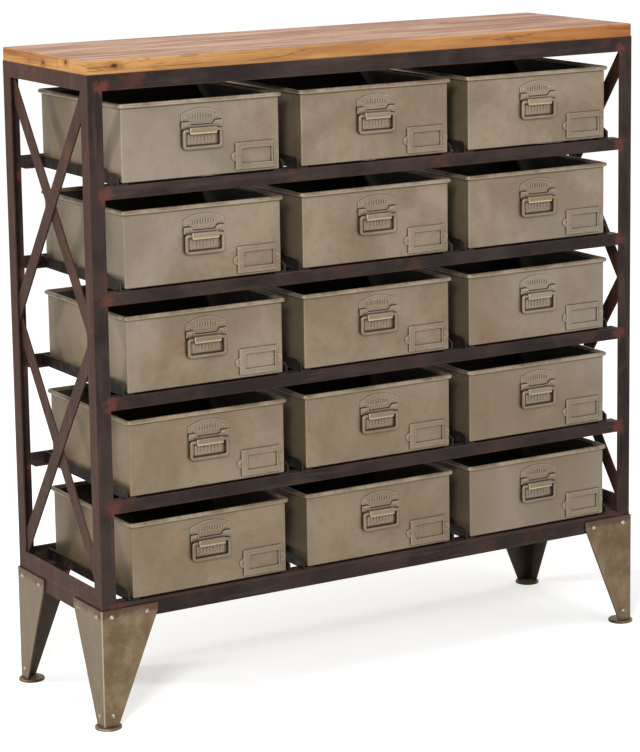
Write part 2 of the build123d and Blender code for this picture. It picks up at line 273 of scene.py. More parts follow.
def flatten_faces(piece):
    """Let the large faces keep their own direction, so that only the bends look round."""
    modify(piece, "WEIGHTED_NORMAL", keep_sharp=True, weight=80)


def join(pieces, name):
    deselect()
    for piece in pieces:
        piece.select_set(True)
    bpy.context.view_layer.objects.active = pieces[0]
    bpy.ops.object.join()
    pieces[0].name = pieces[0].data.name = name
    return pieces[0]


def bent_path(points, corner_radii, corner_steps):
    """A closed polygon's points, with a quarter circle at each right-angled corner."""
    path = []
    count = len(points)
    for index, corner in enumerate(points):
        corner = Vector(corner)
        before = (Vector(points[index - 1]) - corner).normalized()
        after = (Vector(points[(index + 1) % count]) - corner).normalized()
        bend = corner_radii[index]
        start, end = corner + before * bend, corner + after * bend
        centre = corner + (before + after) * bend
        for step in range(corner_steps + 1):
            share = step / corner_steps * math.pi / 2
            path.append(centre + (start - centre) * math.cos(share) + (end - centre) * math.sin(share))
    return path


def round_rod(points, corner_radii, radius, name, sides=16, corner_steps=8):
    """A closed rod of round section along a polygon whose corners are bent."""
    path = bent_path(points, corner_radii, corner_steps)
    curve = bpy.data.curves.new(name, "CURVE")
    curve.dimensions = "3D"
    spline = curve.splines.new("POLY")
    spline.points.add(len(path) - 1)
    for point, place in zip(spline.points, path):
        point.co = (*(place * MM), 1)
    spline.use_cyclic_u = True
    curve.bevel_depth = radius * MM
    curve.bevel_resolution = (sides - 4) // 4
    rod = bpy.data.objects.new(name, curve)
    bpy.context.collection.objects.link(rod)
    activate(rod)
    bpy.ops.object.convert(target="MESH")
    rod = bpy.context.object
    bpy.ops.object.shade_smooth()
    return rod


# ---------------------------------------------------------------- node tools

# how far the ambient occlusion reaches for the painted shade in grooves and inner corners
CREVICE_SHADE_REACH = 5 * MM


def colour(red, green, blue):
    """A shader colour from the 0 to 255 values that are read off a picture."""
    values = [channel / 255 for channel in (red, green, blue)]
    return (*[c / 12.92 if c <= 0.04045 else ((c + 0.055) / 1.055) ** 2.4 for c in values], 1.0)


class Nodes:
    """A node tree under construction: most calls add a node or a few and return the last output."""

    def __init__(self, name):
        self.material = bpy.data.materials.new(name)
        self.material.use_nodes = True
        self.tree = self.material.node_tree
        self.shader = self.tree.nodes["Principled BSDF"]
        place = self.tree.nodes.new("ShaderNodeTexCoord")
        self.place, self.facing = place.outputs["Object"], place.outputs["Normal"]

    def link(self, value, socket):
        if isinstance(value, bpy.types.NodeSocket):
            self.tree.links.new(value, socket)
        else:
            socket.default_value = value

    def stretch(self, scale, offset=(0, 0, 0), place=None):
        node = self.tree.nodes.new("ShaderNodeMapping")
        self.link(place or self.place, node.inputs["Vector"])
        node.inputs["Scale"].default_value = scale
        node.inputs["Location"].default_value = offset
        return node.outputs["Vector"]

    def noise(self, scale, detail=4.0, rough=0.55, distort=0.0, place=None):
        node = self.tree.nodes.new("ShaderNodeTexNoise")
        self.link(place or self.place, node.inputs["Vector"])
        settings = {"Scale": scale, "Detail": detail, "Roughness": rough, "Distortion": distort}
        for key, value in settings.items():
            node.inputs[key].default_value = value
        return node.outputs["Fac"]

    def ramp(self, value, low, high):
        """0 at `low` and 1 at `high`, and smooth between them."""
        node = self.tree.nodes.new("ShaderNodeMapRange")
        node.interpolation_type = "SMOOTHSTEP"
        self.link(value, node.inputs["Value"])
        node.inputs["From Min"].default_value = low
        node.inputs["From Max"].default_value = high
        return node.outputs["Result"]

    def math(self, operation, first, second=0.0, third=0.0):
        node = self.tree.nodes.new("ShaderNodeMath")
        node.operation = operation
        for value, socket in zip((first, second, third), node.inputs):
            self.link(value, socket)
        return node.outputs["Value"]

    def vector_math(self, operation, output, *vectors):
        node = self.tree.nodes.new("ShaderNodeVectorMath")
        node.operation = operation
        for vector, socket in zip(vectors, node.inputs):
            self.link(vector, socket)
        return node.outputs[output]

    def part(self, vector, axis):
        node = self.tree.nodes.new("ShaderNodeSeparateXYZ")
        self.link(vector, node.inputs["Vector"])
        return node.outputs[axis]

    def size(self, vector, axis):
        """How large one part of a vector is, whichever its sign."""
        return self.math("ABSOLUTE", self.part(vector, axis))

    def combine(self, x=0.0, y=0.0, z=0.0):
        node = self.tree.nodes.new("ShaderNodeCombineXYZ")
        for axis, value in zip("XYZ", (x, y, z)):
            self.link(value, node.inputs[axis])
        return node.outputs["Vector"]

    def spread(self, pattern, least, more):
        """A value from `least` to `least + more` that follows a pattern."""
        return self.math("MULTIPLY_ADD", pattern, more, least)

    def looks_along(self, axis, low=0.6, high=0.9):
        """1 on faces that look along an axis, either way."""
        return self.ramp(self.size(self.facing, axis), low, high)

    def mix(self, share, first, second, kind="RGBA"):
        node = self.tree.nodes.new("ShaderNodeMix")
        node.data_type = kind
        self.link(share, node.inputs["Factor"])
        self.link(first, node.inputs["A"])
        self.link(second, node.inputs["B"])
        return node.outputs["Result"]

    def blend(self, share, first, second):
        """A mix of two tints, each in 0 to 255 values."""
        return self.mix(share, colour(*first), colour(*second))

    def layers(self, base, *rows):
        """Lay tints over the base in turn. A row is a mask, the share that shows there and a tint."""
        for mask, share, tint in rows:
            base = self.mix(self.math("MULTIPLY", mask, share), base, colour(*tint))
        return base

    def outer_edges(self, radius):
        """1 along the outer edges, 0 on the flats."""
        bevel = self.tree.nodes.new("ShaderNodeBevel")
        bevel.samples = 4
        bevel.inputs["Radius"].default_value = radius
        geometry = self.tree.nodes.new("ShaderNodeNewGeometry")
        normals = bevel.outputs["Normal"], geometry.outputs["Normal"]
        alike = self.vector_math("DOT_PRODUCT", "Value", *normals)
        return self.ramp(self.math("SUBTRACT", 1.0, alike), 0.02, 0.2)

    def crevice_shade(self, share, tint):
        """A row of `layers` that paints shade, with some grime, into the grooves and inner corners, where
        the ambient occlusion is low.
        """
        node = self.tree.nodes.new("ShaderNodeAmbientOcclusion")
        node.samples = 6
        node.inputs["Distance"].default_value = CREVICE_SHADE_REACH
        return self.ramp(node.outputs["AO"], 0.9, 0.5), share, tint

    def spots(self, scale, size, share):
        """Small scattered marks in about `share` of the cells: 1 inside a mark, 0 outside."""
        node = self.tree.nodes.new("ShaderNodeTexVoronoi")
        self.link(self.place, node.inputs["Vector"])
        node.inputs["Scale"].default_value = scale
        near = self.ramp(node.outputs["Distance"], size, size * 0.4)
        picked = self.ramp(self.part(node.outputs["Color"], "X"), 1 - share, 1.02 - share)
        return self.math("MULTIPLY", near, picked)

    def mark(self, centre, radii, ragged=0.5):
        """A rounded patch about a point, with an uneven edge: 1 in its middle, 0 outside."""
        scale = [1 / radius for radius in radii]
        offset = [-place / radius for place, radius in zip(centre, radii)]
        away = self.vector_math("LENGTH", "Value", self.stretch(scale, offset))
        uneven = self.noise(1.5 / max(radii), detail=4.0, rough=0.6)
        reach = self.math("MULTIPLY_ADD", uneven, ragged * 2, away)
        return self.ramp(reach, 1 + ragged, 0.4 + ragged)

    def bump(self, height, strength, distance):
        node = self.tree.nodes.new("ShaderNodeBump")
        self.link(height, node.inputs["Height"])
        node.inputs["Strength"].default_value = strength
        node.inputs["Distance"].default_value = distance
        self.link(node.outputs["Normal"], self.shader.inputs["Normal"])

    def set(self, **values):
        for key, value in values.items():
            self.link(value, self.shader.inputs[key.replace("_", " ")])


def paint(piece, material):
    piece.data.materials.clear()
    piece.data.materials.append(material)


# ---------------------------------------------------------------- steel of the drawers

# the last tint on the next line is a painted light on the drawers' side faces
SHEET_DARK, SHEET_PALE, SHEET_SIDE_LIGHT = (130, 113, 91), (155, 138, 117), (144, 128, 92)
# the first tint on the next line is a painted shade for the lower drawers
SHEET_LOW_SHADE, SHEET_SPECK, SHEET_STAIN = (112, 92, 62), (104, 89, 70), (122, 88, 62)
# the last tint on the next line is rubbed wear with a painted highlight on the edges
SHEET_SPOT, SHEET_BLOOM, SHEET_RUBBED_HIGHLIGHT = (84, 62, 46), (150, 142, 132), (212, 200, 176)
# painted shade, with some grime, for the drawers' grooves and inner corners
SHEET_CREVICE_SHADE = (36, 27, 18)
RIM_DARK, RIM_PALE = (118, 98, 74), (156, 140, 118)
# the last tint on the next line is a painted highlight under the rims
RIM_SPECK, RIM_UNDERSIDE_HIGHLIGHT = (92, 66, 46), (204, 192, 166)
# painted shade: the tints of the trays' inside
INSIDE_SHADE_DARK, INSIDE_SHADE_PALE = (44, 38, 31), (66, 58, 47)
# the first two tints on the next line are rubbed wear with a painted highlight on the clip's lip
LIP_PALE, LIP_BRASSY, LIP_SPECK = (170, 158, 132), (194, 172, 126), (140, 118, 86)


def make_drawer_steel():
    """Bare sheet steel, oiled and aged: khaki with cloudy blotches, specks and a few brown stains, with
    painted light on the side faces and edges and painted shade on the lower drawers and in the crevices.
    """
    m = Nodes("aged_sheet_steel")
    clouds = m.noise(7.0, detail=5.0, rough=0.6, distort=0.6)
    fine = m.noise(60.0, detail=4.0, rough=0.7)
    stains = m.noise(11.0, detail=6.0, rough=0.65, place=m.stretch((1, 1, 1), offset=(3.1, 1.7, 5.3)))
    bloom = m.noise(1.7, detail=2.0)
    base = m.layers(
        m.blend(m.ramp(clouds, 0.36, 0.68), SHEET_DARK, SHEET_PALE),
        # painted light: the faces that look sideways warmer and yellower, as the light from the left falls
        # on them
        (m.looks_along("X"), 0.4, SHEET_SIDE_LIGHT),
        # painted shade: the lower drawers darker, the nearer the floor
        (m.ramp(m.part(m.place, "Z"), 0.95, 0.2), 0.3, SHEET_LOW_SHADE),
        (m.ramp(fine, 0.45, 0.75), 0.3, SHEET_SPECK),
        (m.ramp(stains, 0.58, 0.72), 0.45, SHEET_STAIN),
        (m.spots(scale=42.0, size=0.07, share=0.25), 0.55, SHEET_SPOT),
        (m.ramp(bloom, 0.45, 0.6), 0.35, SHEET_BLOOM),
        # rubbed wear and a painted highlight: the outer edges paler, as they catch the light
        (m.outer_edges(2.4 * MM), 0.75, SHEET_RUBBED_HIGHLIGHT),
        # painted shade, with some grime, in the grooves and inner corners
        m.crevice_shade(0.95, SHEET_CREVICE_SHADE),
    )
    m.set(Base_Color=base, Metallic=0.5, Roughness=m.spread(clouds, least=0.3, more=0.28))
    m.bump(fine, strength=0.12, distance=0.4 * MM)
    return m.material


def make_rim_steel():
    """The rolled rims: a painted highlight on their underside, oily and brown on top."""
    m = Nodes("rubbed_rim_steel")
    clouds = m.noise(14.0, detail=6.0, rough=0.7)
    fine = m.noise(90.0, detail=4.0, rough=0.7)
    base = m.layers(
        m.blend(m.ramp(clouds, 0.38, 0.62), RIM_DARK, RIM_PALE),
        (m.ramp(fine, 0.5, 0.72), 0.5, RIM_SPECK),
        # painted highlight: the faces that look down paler
        (m.ramp(m.part(m.facing, "Z"), 0.0, -0.6), 0.6, RIM_UNDERSIDE_HIGHLIGHT),
    )
    m.set(Base_Color=base, Metallic=0.5, Roughness=m.spread(clouds, least=0.3, more=0.28))
    return m.material


def make_tray_inside_shade():
    """The trays' inside: the same steel, darker, as a painted shade."""
    m = Nodes("tray_inside_shaded_steel")
    clouds = m.noise(9.0, detail=5.0, rough=0.6)
    base = m.blend(m.ramp(clouds, 0.35, 0.7), INSIDE_SHADE_DARK, INSIDE_SHADE_PALE)
    m.set(Base_Color=base, Metallic=0.3, Roughness=m.spread(clouds, least=0.5, more=0.2))
    return m.material


def make_lip_highlight():
    """The clip's lower lip is bright and a little brassy: rubbed wear, and a painted highlight along it."""
    m = Nodes("lip_highlight_and_wear")
    worn = m.noise(3.3, detail=2.0, rough=0.5)
    fine = m.noise(240.0, detail=4.0, rough=0.7)
    base = m.layers(
        m.blend(m.ramp(worn, 0.46, 0.56), LIP_PALE, LIP_BRASSY),
        (m.ramp(fine, 0.5, 0.75), 0.4, LIP_SPECK),
    )
    m.set(Base_Color=base, Metallic=0.7, Roughness=m.spread(fine, least=0.28, more=0.2))
    return m.material


# ---------------------------------------------------------------- steel of the legs

RUST_BAND = 30 * MM
# the last tint on the next line is a painted light on the legs' side faces
LEG_DARK, LEG_PALE, LEG_SIDE_LIGHT = (104, 82, 56), (138, 120, 94), (116, 103, 82)
LEG_RUN, LEG_SPECK, LEG_RUST = (98, 64, 38), (78, 58, 42), (78, 48, 31)
# the second tint on the next line is a painted highlight on the legs' fold
LEG_EDGE, LEG_FOLD_HIGHLIGHT = (86, 58, 38), (184, 170, 146)
# the first tint on the next line is painted shade, with some grime, for the grooves and inner corners
# the second tint on the next line is a painted shade for the legs' inward faces
LEG_CREVICE_SHADE, LEG_INSIDE_SHADE = (52, 36, 24), (44, 33, 24)
RIVET_DARK, RIVET_PALE = (120, 108, 92), (186, 176, 158)


def rust_band(m):
    """1 in a ragged band along the legs' top edge."""
    band = m.ramp(m.part(m.place, "Z"), LEG_TOP - RUST_BAND, LEG_TOP)
    patchy = m.math("MULTIPLY", m.noise(26.0, detail=7.0, rough=0.75), 2.0)
    return m.ramp(m.math("ADD", band, patchy), 1.55, 1.9)


def leg_fold(m):
    """1 on the rounded fold between a leg's two faces."""
    across, deep = m.size(m.facing, "X"), m.size(m.facing, "Y")
    return m.ramp(m.math("MULTIPLY", across, deep), 0.15, 0.4)


def looks_inward(m, axis, shallow, deep):
    """1 on faces that look back at the middle of the cabinet."""
    outward = m.math("MULTIPLY", m.part(m.place, axis), m.part(m.facing, axis))
    return m.ramp(outward, shallow, deep)


def make_leg_steel():
    """The same sheet on the legs: browner, stained downwards, rusty along its top and its edges, with
    painted light on the side faces and the fold and painted shade on the inward faces and in the crevices.
    """
    m = Nodes("stained_leg_steel")
    clouds = m.noise(22.0, detail=7.0, rough=0.7)
    runs = m.noise(26.0, detail=5.0, rough=0.7, place=m.stretch((1, 1, 0.3)))
    fine = m.noise(110.0, detail=4.0, rough=0.75)
    base = m.layers(
        m.blend(m.ramp(clouds, 0.34, 0.68), LEG_DARK, LEG_PALE),
        # painted light: the faces that look sideways a different tone, as the light falls on them
        (m.looks_along("X", 0.5, 0.9), 0.6, LEG_SIDE_LIGHT),
        (m.ramp(runs, 0.52, 0.7), 0.5, LEG_RUN),
        (m.ramp(fine, 0.55, 0.75), 0.4, LEG_SPECK),
        (rust_band(m), 0.8, LEG_RUST),
        (m.outer_edges(2.6 * MM), 0.55, LEG_EDGE),
        # painted highlight: the rounded fold between the leg's faces paler, as it catches the light
        (leg_fold(m), 0.7, LEG_FOLD_HIGHLIGHT),
        # painted shade, with some grime, in the grooves and inner corners
        m.crevice_shade(0.7, LEG_CREVICE_SHADE),
        # painted shade: the faces that look back at the middle of the cabinet darker
        (looks_inward(m, "X", -0.1, -0.3), 0.85, LEG_INSIDE_SHADE),
        (looks_inward(m, "Y", -0.03, -0.1), 0.85, LEG_INSIDE_SHADE),
    )
    m.set(Base_Color=base, Metallic=0.45, Roughness=m.spread(clouds, least=0.34, more=0.3))
    m.bump(fine, strength=0.2, distance=0.4 * MM)
    return m.material


def make_rivet_steel():
    """The legs' rivet heads, brighter than the sheet."""
    m = Nodes("rivet_heads")
    fine = m.noise(300.0, detail=4.0, rough=0.6)
    base = m.blend(m.ramp(fine, 0.35, 0.65), RIVET_DARK, RIVET_PALE)
    m.set(Base_Color=base, Metallic=0.8, Roughness=m.spread(fine, least=0.25, more=0.2))
    return m.material


# ---------------------------------------------------------------- steel of the frame

WELD_DROP, WELD_REACH = 12 * MM, 15 * MM
WELD_INNER, WELD_OUTER = 106 * MM, 130 * MM
ALONG_POST, ALONG_RAIL = (1, 1, 0.08), (0.08, 1, 1)
# the last tint on the next line is painted shade, with some grime, for the grooves and inner corners
STREAK, SCUFF, WELD_RUST, FRAME_CREVICE_SHADE = (104, 84, 76), (94, 58, 45), (112, 66, 58), (26, 20, 18)


def drawn_streaks(m, run):
    """Fine streaks along a bar, as rolled stock has."""
    return m.ramp(m.noise(60.0, detail=5.0, rough=0.7, place=m.stretch(run)), 0.5, 0.68)


def weld_rust(m):
    """1 in ragged patches where the tiers' rails are welded to the posts."""
    height = m.math("ADD", m.part(m.place, "Z"), -BOTTOM_TIER + WELD_DROP + TIER_PITCH)
    up = m.math("PINGPONG", height, TIER_PITCH / 2)
    across = m.math("SUBTRACT", m.size(m.place, "X"), POST_EDGE)
    away = m.math("SQRT", m.math("ADD", m.math("POWER", up, 2.0), m.math("POWER", across, 2.0)))
    uneven = m.noise(70.0, detail=7.0, rough=0.8)
    reach = m.math("MULTIPLY_ADD", uneven, WELD_REACH * 4, away)
    patch = m.ramp(reach, WELD_REACH * 3.1, WELD_REACH * 2.2)
    return m.math("MULTIPLY", patch, m.ramp(m.size(m.place, "Y"), WELD_INNER, WELD_OUTER))


def make_frame_steel(name, dark, light, side, worn, edge):
    """Waxed dark angle iron: browner on the side faces as a painted light, paler brown at the edges as wear
    with a painted highlight, painted shade in the crevices, and rust round the welds.
    """
    m = Nodes(name)
    clouds = m.noise(9.0, detail=5.0, rough=0.6, distort=0.4)
    fine = m.noise(90.0, detail=4.0, rough=0.7)
    scuffs = m.noise(17.0, detail=6.0, rough=0.7)
    on_post = m.math("GREATER_THAN", m.size(m.place, "X"), POST_EDGE)
    on_rail = m.math("SUBTRACT", 1.0, on_post)
    base = m.layers(
        m.blend(m.ramp(clouds, 0.35, 0.7), dark, light),
        # painted light: the faces that look sideways browner, as the light falls on them
        (m.looks_along("X", 0.4, 0.8), 0.75, side),
        (m.math("MULTIPLY", drawn_streaks(m, ALONG_POST), on_post), 0.35, STREAK),
        (m.math("MULTIPLY", drawn_streaks(m, ALONG_RAIL), on_rail), 0.35, STREAK),
        (m.ramp(scuffs, 0.54, 0.68), 0.55, SCUFF),
        (weld_rust(m), 0.85, WELD_RUST),
        # rubbed wear and a painted highlight: the outer edges paler, as they catch the light
        (m.outer_edges(edge), 0.7, worn),
        # painted shade, with some grime, in the grooves and inner corners
        m.crevice_shade(0.6, FRAME_CREVICE_SHADE),
    )
    m.set(Base_Color=base, Specular_IOR_Level=0.12, Roughness=m.spread(fine, least=0.38, more=0.3))
    m.bump(fine, strength=0.25, distance=0.5 * MM)
    return m.material


# ---------------------------------------------------------------- wood

SEAM_EDGE, SEAM_MIDDLE = 1.2 * MM, 0.3 * MM
PLANKS_APART = 3.7
GOLD_DARK, GOLD_PALE, GOLD_GRAIN = (152, 94, 50), (212, 158, 98), (134, 72, 34)
GOLD_FRONT, GOLD_RED = (232, 178, 112), (190, 108, 54)
# the first two tints on the next line are a painted reflection that greys the top
GLARE_GREY_DARK, GLARE_GREY_PALE, GREY_GRAIN = (146, 106, 84), (204, 174, 152), (138, 84, 58)
GREY_TONE = (150, 104, 78)
WOOD_FIGURE, WOOD_STREAK, WOOD_DASH = (116, 72, 50), (106, 60, 36), (84, 46, 30)
WOOD_CRACK, WOOD_SEAM, WOOD_EDGE = (74, 40, 24), (70, 42, 30), (104, 54, 30)
KNOT_HALO, HALO_RADII = (140, 76, 34), (22 * MM, 16 * MM, 12 * MM)
KNOT_HEART, HEART_RADII = (58, 28, 16), (8 * MM, 6 * MM, 4.5 * MM)


def grain_place(m, plank):
    """Places in which each plank has its own grain, and the sawn ends have theirs along Y."""
    apart = m.combine(x=m.math("MULTIPLY", plank, PLANKS_APART))
    along_plank = m.vector_math("ADD", "Vector", m.place, apart)
    along_end = m.combine(*(m.part(m.place, axis) for axis in ("Y", "X", "Z")))
    return m.mix(m.looks_along("X"), along_plank, along_end, kind="VECTOR")


def golden_wood(m, mottle, grain):
    """The planks' oiled edges: golden, paler on the front and back and redder to the right."""
    rightward = m.math("MULTIPLY_ADD", m.noise(2.2, detail=3.0), 1.5, m.part(m.place, "X"))
    return m.layers(
        m.blend(m.ramp(mottle, 0.34, 0.66), GOLD_DARK, GOLD_PALE),
        (m.ramp(grain, 0.54, 0.74), 0.4, GOLD_GRAIN),
        (m.looks_along("Y"), 0.35, GOLD_FRONT),
        (m.ramp(rightward, 0.6, 1.5), 0.6, GOLD_RED),
    )


def glare_top_wood(m, mottle, grain, plank):
    """The planks' upper side: greyer, a painted reflection of the sky, and each plank a little different."""
    tone = m.math("FRACT", m.math("MULTIPLY_ADD", plank, 0.38, 0.15))
    return m.layers(
        m.blend(m.ramp(mottle, 0.32, 0.68), GLARE_GREY_DARK, GLARE_GREY_PALE),
        (m.ramp(grain, 0.5, 0.7), 0.6, GREY_GRAIN),
        (tone, 0.3, GREY_TONE),
    )


def plank_seams(m):
    """1 along the lines where the planks meet."""
    across = m.math("ADD", m.part(m.place, "Y"), PLANK_WIDTH / 2)
    return m.ramp(m.math("PINGPONG", across, PLANK_WIDTH / 2), SEAM_EDGE, SEAM_MIDDLE)


def knots(m):
    """Rows of `layers` for the knots: a brown halo and a dark heart each."""
    low, high = WOOD_LOW, WOOD_HIGH
    middle = (low.z + high.z) / 2
    rows = []
    for centre in (
        (low.x + 46 * MM, low.y, middle + 1 * MM),
        (low.x, low.y + 70 * MM, middle + 4 * MM),
        (low.x, low.y + 150 * MM, middle - 3 * MM),
        (low.x + 320 * MM, high.y, middle),
        (high.x, low.y + 110 * MM, middle - 2 * MM),
        (high.x - 240 * MM, high.y - 90 * MM, high.z),
    ):
        rows.append((m.mark(centre, HALO_RADII), 0.45, KNOT_HALO))
        rows.append((m.mark(centre, HEART_RADII, ragged=0.3), 0.9, KNOT_HEART))
    return rows


def make_wood():
    """Oiled hardwood planks: golden mottled edges, a top greyed by a painted reflection, long streaks,
    cracks and knots.
    """
    m = Nodes("oiled_planks")
    plank = m.math("FLOOR", m.math("MULTIPLY_ADD", m.part(m.place, "Y"), 1 / PLANK_WIDTH, 0.5))
    place = grain_place(m, plank)

    def grained(scale, run, **settings):
        return m.noise(scale, place=m.stretch(run, place=place), **settings)

    mottle = grained(5.0, (1.1, 9.0, 12.0), detail=7.0, rough=0.65, distort=0.3)
    grain = grained(9.0, (0.45, 20.0, 20.0), detail=7.0, rough=0.7, distort=0.15)
    streaks = grained(6.0, (0.8, 45.0, 45.0), detail=6.0, rough=0.75)
    rings = grained(4.0, (0.5, 12.0, 12.0), detail=3.0, rough=0.5, distort=0.8)
    figure = grained(6.0, (0.5, 9.0, 9.0), detail=5.0, rough=0.6, distort=0.2)
    dashes = grained(16.0, (0.7, 22.0, 22.0), detail=5.0, rough=0.7)
    cracks = m.ramp(m.math("ABSOLUTE", m.math("SUBTRACT", rings, 0.5)), 0.012, 0.002)
    up = m.ramp(m.part(m.facing, "Z"), 0.6, 0.95)
    golden, glare_top = golden_wood(m, mottle, grain), glare_top_wood(m, mottle, grain, plank)
    base = m.layers(
        # painted reflection: the faces that look up greyed, as the sky glares on them
        m.mix(m.math("MULTIPLY", up, 0.9), golden, glare_top),
        (m.ramp(figure, 0.52, 0.62), m.math("MULTIPLY", up, 0.6), WOOD_FIGURE),
        (m.ramp(streaks, 0.54, 0.66), 0.55, WOOD_STREAK),
        (m.ramp(dashes, 0.6, 0.68), m.spread(up, least=0.15, more=0.5), WOOD_DASH),
        (cracks, 0.45, WOOD_CRACK),
        (m.math("MULTIPLY", plank_seams(m), up), 0.75, WOOD_SEAM),
        (m.math("MULTIPLY", m.outer_edges(3.4 * MM), m.ramp(mottle, 0.3, 0.55)), 0.75, WOOD_EDGE),
        *knots(m),
    )
    m.set(Base_Color=base, Specular_IOR_Level=0.2, Roughness=m.spread(grain, least=0.5, more=0.2))
    m.bump(streaks, strength=0.3, distance=0.6 * MM)
    return m.material


# ---------------------------------------------------------------- tray


def model_tray():
    """An open box of sheet, with its rolled rim as a second piece."""
    half_width, half_depth = DRAWER_WIDTH / 2, DRAWER_DEPTH / 2
    wall_top = DRAWER_HEIGHT - RIM_RADIUS
    tray = box((-half_width, -half_depth, 0), (half_width, half_depth, wall_top))
    tray.name = "tray"
    soften(tray, CORNER_BEND, segments=5)
    bpy.ops.object.mode_set(mode="EDIT")
    bpy.ops.mesh.select_all(action="SELECT")
    cut = wall_top - CORNER_BEND
    bpy.ops.mesh.bisect(plane_co=(0, 0, cut * MM), plane_no=(0, 0, 1), clear_outer=True)
    bpy.ops.object.mode_set(mode="OBJECT")
    modify(tray, "SOLIDIFY", thickness=SHEET * MM, offset=-1)
    bpy.ops.object.shade_smooth_by_angle(angle=TRAY_SMOOTH)
    flatten_faces(tray)
    reach = RIM_RADIUS - SHEET
    x, y = half_width + reach, half_depth + reach
    corners = ((x, y, wall_top), (-x, y, wall_top), (-x, -y, wall_top), (x, -y, wall_top))
    rim = round_rod(corners, [RIM_CORNER] * 4, RIM_RADIUS, "rim")
    return tray, rim


def split_inside(tray, outside, inside):
    """Give the faces that look into the tray the darker steel, a painted shade."""
    tray.data.materials.clear()
    tray.data.materials.append(outside)
    tray.data.materials.append(inside)
    for face in tray.data.polygons:
        place, facing = face.center, face.normal
        wall = facing.x * place.x + facing.y * place.y < 0
        bottom = facing.z > FACES_UP and place.z < DRAWER_HEIGHT / 2 * MM
        if wall or bottom:
            face.material_index = 1


# ---------------------------------------------------------------- pull


def model_plate():
    """The plate: an arched head, and a skirt below the clip."""
    rise = PLATE_PEAK - PLATE_SHOULDER
    arc_radius = (PULL_HALF**2 + rise**2) / (2 * rise)
    plate = box((-PULL_HALF, PLATE_FACE, EAR_FOOT), (PULL_HALF, DRAWER_FRONT, PLATE_PEAK + CUT_ROOM))
    arc_centre = (0, DRAWER_FRONT + CUT_ROOM, PLATE_PEAK - arc_radius)
    boolean(plate, disc(arc_centre, arc_radius, ARC_DEPTH, ARC_SIDES), "INTERSECT")
    skirt = box((-SLEEVE_END, PLATE_FACE, SKIRT_FOOT), (SLEEVE_END, DRAWER_FRONT, EAR_FOOT + CUT_PAST))
    boolean(plate, skirt, "UNION")
    soften(plate, PLATE_BEND, segments=3)
    flatten_faces(plate)
    return plate


def upright_rib(across, half, low, high, proud):
    """An upright rib that stands proud of the plate."""
    rib = box((across - half, PLATE_FACE - proud, low), (across + half, DRAWER_FRONT - SUNK, high))
    soften(rib, RIB_BEND)
    return rib


def model_relief():
    """Ribs that follow the plate's arch with a dot at each side, and a second row on the skirt."""
    relief = []
    for step in range(-RIBS, RIBS + 1):
        top = RIB_FOOT + (RIB_HEIGHT - RIB_FALL * step**2)
        relief.append(upright_rib(step * RIB_STEP, RIB_HALF, RIB_FOOT, top, RIB_PROUD))
    for side in (-1, 1):
        relief.append(dome((side * DOT_X, PLATE_FACE, DOT_Z), DOT_RADIUS, DOT_RISE))
    for step in range(-LOW_RIBS, LOW_RIBS + 1):
        across = step * LOW_RIB_STEP
        relief.append(upright_rib(across, LOW_RIB_HALF, LOW_RIB_FOOT, LOW_RIB_TOP, LOW_RIB_PROUD))
    return relief


def clip_sheet(back, gauge, low, high):
    """A sheet with two raised ears and a dipped middle; its back is at `back`."""
    sheet = box((-PULL_HALF, back - gauge, low), (PULL_HALF, back, high))
    dip_half = PULL_HALF - EAR_WIDTH - DIP_SLOPE / 2
    dip = box((-dip_half, back - gauge - CUT_PAST, high - DIP), (dip_half, back + CUT_PAST, high + CUT_PAST))
    for vertex in dip.data.vertices:
        vertex.select = vertex.co.z > high * MM
    for element in (*dip.data.edges, *dip.data.polygons):
        element.select = all(dip.data.vertices[index].select for index in element.vertices)
    bpy.ops.object.mode_set(mode="EDIT")
    bpy.ops.transform.resize(value=((dip_half + DIP_SLOPE / 2) / dip_half, 1, 1))
    bpy.ops.object.mode_set(mode="OBJECT")
    boolean(sheet, dip, "DIFFERENCE")

    def at_slope(middle, run):
        """Whether an edge runs through the sheet at an end of the dip's slopes."""
        inside = abs(middle.x) < PULL_HALF - CUT_PAST and middle.z > high - DIP - CUT_PAST
        return inside and abs(run.y) > ALONG

    round_edges(sheet, DIP_BEND, at_slope)
    return sheet


def model_clip():
    """The clip: a leaning sheet, rolled at its foot into a sleeve round the bail's top."""
    clip = clip_sheet(0, CLIP_GAUGE, 0, EAR_TOP - CLIP_FOOT)
    clip.rotation_euler.x = CLIP_LEAN
    clip.location = Vector((0, PLATE_FACE + CLIP_SUNK, CLIP_FOOT)) * MM
    apply_place(clip)
    sleeve = box(
        (-SLEEVE_END, PIVOT_Y - SLEEVE_OUTER, PIVOT_HEIGHT - SLEEVE_OUTER),
        (SLEEVE_END, PLATE_FACE, PIVOT_HEIGHT + SLEEVE_OUTER),
    )
    soften(sleeve, SLEEVE_BEND, segments=4)
    boolean(clip, sleeve, "UNION")
    hollow = box(
        (-PULL_HALF - CUT_PAST, PIVOT_Y - SLEEVE_INNER, PIVOT_HEIGHT - SLEEVE_INNER),
        (PULL_HALF + CUT_PAST, PLATE_FACE, PIVOT_HEIGHT + SLEEVE_INNER),
    )
    boolean(clip, hollow, "DIFFERENCE")
    soften(clip, CLIP_BEND)
    return clip


def model_studs():
    """A stud on each of the clip's ears."""
    leant = (STUD_Z - CLIP_FOOT) * math.tan(CLIP_LEAN)
    face = PLATE_FACE + CLIP_SUNK - CLIP_GAUGE - leant
    return [dome((side * STUD_X, face, STUD_Z), STUD_RADIUS, STUD_RISE) for side in (-1, 1)]


